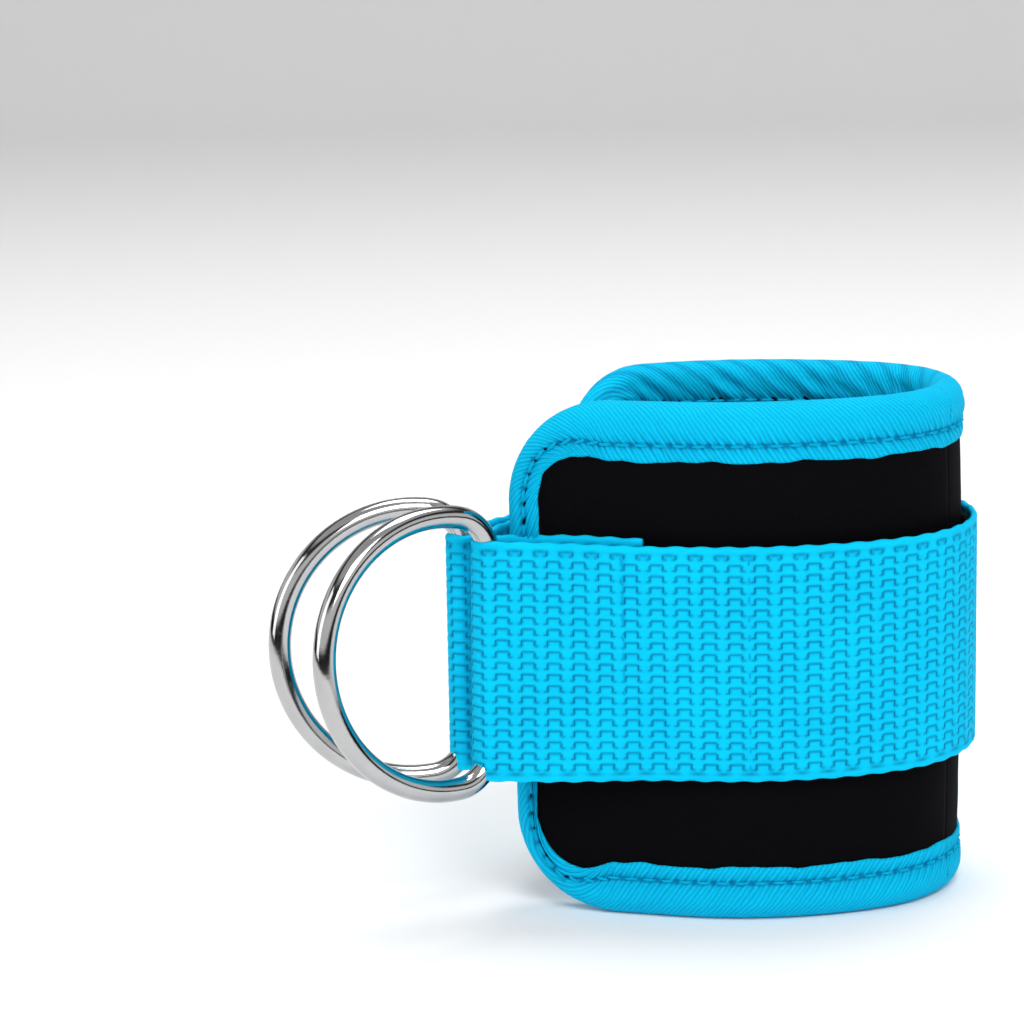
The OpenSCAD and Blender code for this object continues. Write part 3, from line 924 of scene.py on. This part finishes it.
tab = webbing_sleeve("strap_end_webbing", strap_line, U_TAB, strap_line.length, webbing)
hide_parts("strap_end")
peels(tab)

# ---- hook and loop tape ----
HOOK_DROP = HOOK_MID - STRAP_MID
HOOK_END = 0.5  # how far the hook tape stops short of the strap's loose end
TAPE_STEP = 0.8
U_HOOK = along_line(strap_line, FLANK_F + (FLANK_R + STRAP_MID) * on_circle(HOOK_A))


def tape_piece(name, line, first, last, drop, material, nodes):
    """Hook or loop tape, flat along the line at its own distance from it."""

    def off(u):
        return np.full(len(u), drop)

    piece = webbing_sleeve(name, line, first, last, material, TAPE_W, TAPE_T, TAPE_STEP, off=off, plain=True)
    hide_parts(*nodes)
    return piece


for name, first, last, part, nodes in (
    ("hook_tape_front_face", U_HOOK, U_SPLIT_FRONT, "front", ["hook_tape_front"]),
    (
        "hook_tape_bend_face",
        U_SPLIT_FRONT,
        U_SPLIT_REAR,
        "middle",
        ["hook_tape_bend_front", "hook_tape_bend_rear"],
    ),
    ("hook_tape_rear_face", U_SPLIT_REAR, U_TAB, "rear", ["hook_tape_rear"]),
):
    flexes(tape_piece(name, strap_line, first, last, HOOK_DROP, hook_pile, nodes))
hook_end = tape_piece(
    "hook_tape_end_face",
    strap_line,
    U_TAB,
    strap_line.length - HOOK_END,
    HOOK_DROP,
    hook_pile,
    ["hook_tape_end"],
)
peels(hook_end)
LOOP_FIRST = bend_at(90 - FLANK_A) + FLANK_R * math.radians(TAB_A0 - 90 + FLANK_A)
LOOP_LAST = LOOP_FIRST + FLANK_R * math.radians(90 + BACK_A - TAB_A0)
loop = tape_piece(
    "loop_tape_face", pad_line, LOOP_FIRST, LOOP_LAST, LOOP_MID, loop_pile, ["loop_tape"]
)
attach(loop, "back_half")

# ---- the ring strip on the back panel, folded round the far bar ----
SIDE_INNER = 1.65  # from the cover to the middle of the strip's flap
PAST_PAD = 2.0  # how far the strip runs straight past the pad's end
knee = BACK_ROOT + (BACK_LEN + PAST_PAD) * BACK_DIR
strip_arc = arc(LEFT_C, LEFT_R + STRAP_MID, SIDE_A, BACK_TURN)
strip_turn = round_bar(knee + STRAP_MID * BACK_OUT, FAR_BAR, knee + SIDE_INNER * BACK_OUT)
strip_line = PlanLine(
    joined(
        strip_arc[:1],
        eased(
            joined(
                strip_arc[1:],
                straight(strip_arc[-1], knee + STRAP_MID * BACK_OUT),
                strip_turn,
                straight(knee + SIDE_INNER * BACK_OUT, BACK_ROOT + BACK_DIR + SIDE_INNER * BACK_OUT),
            ),
            EASING,
        ),
    )
)
strip = webbing_sleeve(
    "ring_strip_webbing",
    strip_line,
    0.0,
    strip_line.length,
    webbing,
    tilt=bar_tilt(FAR_BAR, FAR_AXIS, 6.0, 22.0)(strip_line),
    start=2.1,
)
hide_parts("strap_side")
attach(strip, "back_half")

# ---- stitch lines across the webbing ----
COLUMN = np.arange(-STRAP_W / 2 + 3, STRAP_W / 2 - 2, STITCH_STEP)
CROSS_SUNK = 0.16
STRIP_ARC = (LEFT_R + STRAP_MID) * math.radians(BACK_TURN - SIDE_A)


def seam_on(name, line, u, body, node):
    """One upright line of stitches on the webbing's outer face."""
    u = np.array([u])
    point, normal = line.place(u, np.zeros(1))[0], np.array([*line.normal(u)[0], 0.0])
    centres = np.array([[*point, STRAP_Z + z] for z in COLUMN]) + normal * (STRAP_T / 2 - CROSS_SUNK)
    up = np.broadcast_to(normal, centres.shape)
    along = np.broadcast_to(np.array([0, 0, 1.0]), centres.shape)
    piece = stitch_beads(name, centres, along, up, CROSS_BEAD, CROSS_THREAD_R)
    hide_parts(node)
    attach(piece, body)


U_CROWN = along_line(strap_line, FLANK_F + (FLANK_R + STRAP_MID) * on_circle(-90))
seam_on("strap_stitches", strap_line, U_CROWN, "front_half", "seam_front")
seam_on("near_fold_stitches", strap_line, U_ROOT - 13.0, "front_half", "seam_near_fold")
seam_on("side_stitches", strip_line, LEFT_R * math.radians(4.0), "back_half", "seam_side")
seam_on("far_fold_stitches", strip_line, STRIP_ARC + 2.0, "back_half", "seam_far_fold")

# ---- rings ----
for name in ("near_ring", "far_ring"):
    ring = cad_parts[name]
    if not ring.material_slots:
        ring.data.materials.append(steel)
    for slot in ring.material_slots:
        slot.link = "OBJECT"
        slot.material = steel


# ---- camera, floor and light ----
LIT_PLACE = (0.0, 0.0, 0.05)


def placed(across, above, back, place):
    """The matrix of a camera or light from its own directions and its place."""
    return Matrix([[across[k], above[k], back[k], place[k]] for k in range(3)] + [[0, 0, 0, 1]])


def set_camera():
    az, el, roll = (math.radians(a) for a in (CAMERA_TURN, CAMERA_DOWN, CAMERA_ROLL))
    back = np.array([math.sin(az) * math.cos(el), -math.cos(az) * math.cos(el), math.sin(el)])
    right = np.array([math.cos(az), math.sin(az), 0.0])
    up = np.cross(back, right)
    across = math.cos(roll) * right + math.sin(roll) * up
    above = math.cos(roll) * up - math.sin(roll) * right
    data = bpy.data.cameras.new("studio camera")
    data.lens, data.sensor_width = CAMERA_LENS, 36.0
    data.shift_x, data.shift_y = CAMERA_SHIFT
    data.clip_start, data.clip_end = 0.01, 20.0
    camera = bpy.data.objects.new("studio camera", data)
    camera.matrix_world = placed(across, above, back, np.array(CAMERA_PLACE) * MM)
    bpy.context.scene.collection.objects.link(camera)
    bpy.context.scene.camera = camera


def plain(name, colour, roughness):
    material = bpy.data.materials.new(name)
    material.use_nodes = True
    shader = material.node_tree.nodes["Principled BSDF"]
    shader.inputs["Base Color"].default_value = (*colour, 1)
    shader.inputs["Roughness"].default_value = roughness
    return material


def add_floor():
    """A pale floor that curves up far behind."""
    half, rise, turn = 3.0, 2.5, 0.8
    foot = half - turn
    profile = [(-half, 0.0), (foot, 0.0)]
    for a in np.linspace(0.1, math.pi / 2, 14):
        profile.append((foot + turn * math.sin(a), turn - turn * math.cos(a)))
    profile.append((half, rise))
    points = [(x, y, z) for y, z in profile for x in (-half, half)]
    faces = [(2 * i, 2 * i + 1, 2 * i + 3, 2 * i + 2) for i in range(len(profile) - 1)]
    mesh = bpy.data.meshes.new("studio_floor")
    mesh.from_pydata(points, [], faces)
    mesh.polygons.foreach_set("use_smooth", [True] * len(faces))
    mesh.materials.append(plain("studio paper", (0.96, 0.96, 0.96), 0.9))
    floor = bpy.data.objects.new("studio_floor", mesh)
    bpy.context.scene.collection.objects.link(floor)


def add_light(name, place, size, power):
    """A soft panel of light, turned to the cuff."""
    data = bpy.data.lights.new(name, "AREA")
    data.shape, data.size, data.size_y, data.energy = "RECTANGLE", size[0], size[1], power
    light = bpy.data.objects.new(name, data)
    back = np.array(place, float) - np.array(LIT_PLACE)
    back /= np.linalg.norm(back)
    side = np.cross((0, 0, 1.0), back)
    side /= np.linalg.norm(side)
    up = np.cross(back, side)
    light.matrix_world = placed(side, up, back, place)
    bpy.context.scene.collection.objects.link(light)


def add_world():
    """A pale studio, with dark and light bands of height for the steel to mirror."""
    world = bpy.data.worlds.new("studio")
    world.use_nodes = True
    tree = world.node_tree
    way = node(tree, "ShaderNodeTexCoord").outputs["Generated"]
    height = node(tree, "ShaderNodeSeparateXYZ", i0=way).outputs[2]
    bands = node(tree, "ShaderNodeValToRGB", i0=maths(tree, "MULTIPLY_ADD", height, 0.5, 0.5))
    ramp = bands.color_ramp
    ramp.elements[0].position, ramp.elements[0].color = 0.0, (0.02, 0.02, 0.02, 1)
    ramp.elements[1].position, ramp.elements[1].color = 1.0, (0.5, 0.5, 0.5, 1)
    for place, value in ((0.56, 0.02), (0.60, 0.85), (0.74, 0.85), (0.79, 0.04), (0.86, 0.04), (0.9, 0.6)):
        ramp.elements.new(place).color = (value, value, value, 1)
    seen = node(tree, "ShaderNodeLightPath").outputs["Is Camera Ray"]
    colour = tint_between(tree, seen, bands.outputs["Color"], (0.86, 0.86, 0.86, 1))
    tree.links.new(colour, tree.nodes["Background"].inputs["Color"])
    bpy.context.scene.world = world


set_camera()
add_floor()
add_light("key", (0.45, -1.35, 1.35), (0.9, 0.9), 20)
add_light("fill", (-1.4, -0.7, 0.7), (0.8, 1.2), 6)
add_light("top", (0.1, 0.4, 1.6), (1.0, 0.8), 13)
add_world()
bpy.context.scene.view_settings.view_transform = "Standard"
